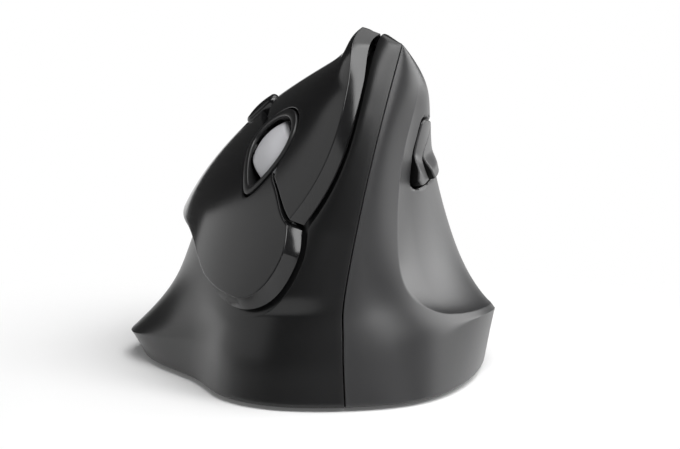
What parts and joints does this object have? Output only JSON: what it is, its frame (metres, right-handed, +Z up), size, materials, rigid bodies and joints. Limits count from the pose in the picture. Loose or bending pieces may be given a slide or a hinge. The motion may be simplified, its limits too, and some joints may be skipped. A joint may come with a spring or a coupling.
{
  "type": "vertical mouse",
  "caption": "Right-hand vertical computer mouse with a leaning body, finger-panel buttons, scroll wheel, thumb buttons, glide feet, battery door and stowed radio receiver.",
  "frame": {"origin": "centre of the base's outline on the desk, at the underside of the glide feet", "axes": "+X to the thumb side, +Y to the tail (the nose faces -Y), +Z up"},
  "size_m": [0.0808, 0.1102, 0.0758],
  "materials": {
    "shell_black": "satin, fine grain",
    "panel_black": "semi-gloss",
    "ring_black": "polished",
    "tyre_grey": "soft-touch, smooth",
    "inner_dark": "moulded",
    "board_green": "solder mask",
    "switch_black": "moulded",
    "steel": "bright",
    "contact": "plated",
    "cell": "plain wrapper",
    "lens": "clear",
    "foot_grey": "slick",
    "knob_grey": "moulded"
  },
  "bodies": {
    "body": {"base_plate": "shell_black", "finger_shell": "shell_black", "thumb_shell": "shell_black", "palm_cover": "panel_black", "hinge_pins": "steel", "wheel_ring": "ring_black", "wheel_switch": "switch_black", "chassis": "inner_dark", "button_board": "board_green", "upper_switch": "switch_black", "lower_switch": "switch_black", "dpi_switch": "switch_black", "dpi_board": "board_green", "side_switches": "switch_black", "side_board": "board_green", "side_bracket": "inner_dark", "main_board": "board_green", "sensor": "switch_black", "sensor_lens": "lens", "battery": "cell", "battery_spring": "contact", "battery_contact": "contact", "battery_cradle": "inner_dark", "power_switch": "switch_black", "receiver_socket": "inner_dark", "feet": "foot_grey", "shell_bosses": "inner_dark", "shell_screws": "steel", "board_screws": "steel"},
    "upper_key": {"upper_button": "panel_black", "upper_plunger": "inner_dark"},
    "lower_key": {"lower_button": "panel_black", "lower_plunger": "inner_dark"},
    "wheel_cradle": {"wheel_carrier": "inner_dark", "encoder": "switch_black"},
    "wheel": {"wheel_tyre": "tyre_grey", "wheel_hub": "inner_dark", "wheel_axle": "steel"},
    "dpi_key": {"dpi_button": "panel_black"},
    "forward_key": {"forward_button": "shell_black"},
    "back_key": {"back_button": "shell_black"},
    "power_key": {"power_knob": "knob_grey"},
    "door": {"battery_door": "shell_black"},
    "dongle": {"receiver": "switch_black"}
  },
  "joints": [
    {"name": "upper_press", "type": "hinge", "parent": "body", "child": "upper_key", "pos_m": [-0.00344, 0.00103, 0.05615], "axis": [0.8731, -0.0807, 0.4809], "range_deg": [0, 1], "stiffness_Nm_per_rad": 1.5, "springref_deg": -0.29},
    {"name": "lower_press", "type": "hinge", "parent": "body", "child": "lower_key", "pos_m": [-0.02074, 0.00211, 0.03889], "axis": [0.6207, -0.0089, 0.784], "range_deg": [0, 1], "stiffness_Nm_per_rad": 1.5, "springref_deg": -0.29},
    {"name": "wheel_click", "type": "slide", "parent": "body", "child": "wheel_cradle", "axis": [0.7416, 0.4149, -0.5271], "range_m": [0, 0.0005], "stiffness_N_per_m": 1500, "springref_m": -0.0003},
    {"name": "wheel_spin", "type": "hinge", "parent": "wheel_cradle", "child": "wheel", "pos_m": [-0.00191, -0.0243, 0.04608], "axis": [0.6486, -0.243, 0.7213], "continuous": true},
    {"name": "dpi_press", "type": "slide", "parent": "body", "child": "dpi_key", "axis": [0.6933, 0.0102, -0.7206], "range_m": [0, 0.0004], "stiffness_N_per_m": 1500, "springref_m": -0.0002},
    {"name": "forward_press", "type": "slide", "parent": "body", "child": "forward_key", "axis": [-0.9846, 0.1652, -0.0574], "range_m": [0, 0.0005], "stiffness_N_per_m": 1500, "springref_m": -0.0002},
    {"name": "back_press", "type": "slide", "parent": "body", "child": "back_key", "axis": [-0.9846, 0.1652, -0.0574], "range_m": [0, 0.0005], "stiffness_N_per_m": 1500, "springref_m": -0.0002},
    {"name": "power_slide", "type": "slide", "parent": "body", "child": "power_key", "axis": [0, 1, 0], "range_m": [0, 0.0056]},
    {"name": "door_swing", "type": "hinge", "parent": "body", "child": "door", "pos_m": [0.006, -0.0122, 0.0018], "axis": [-1, 0, 0], "range_deg": [0, 100]},
    {"name": "receiver_pull", "type": "slide", "parent": "body", "child": "dongle", "axis": [0, 0, -1], "range_m": [0, 0.02]}
  ]
}
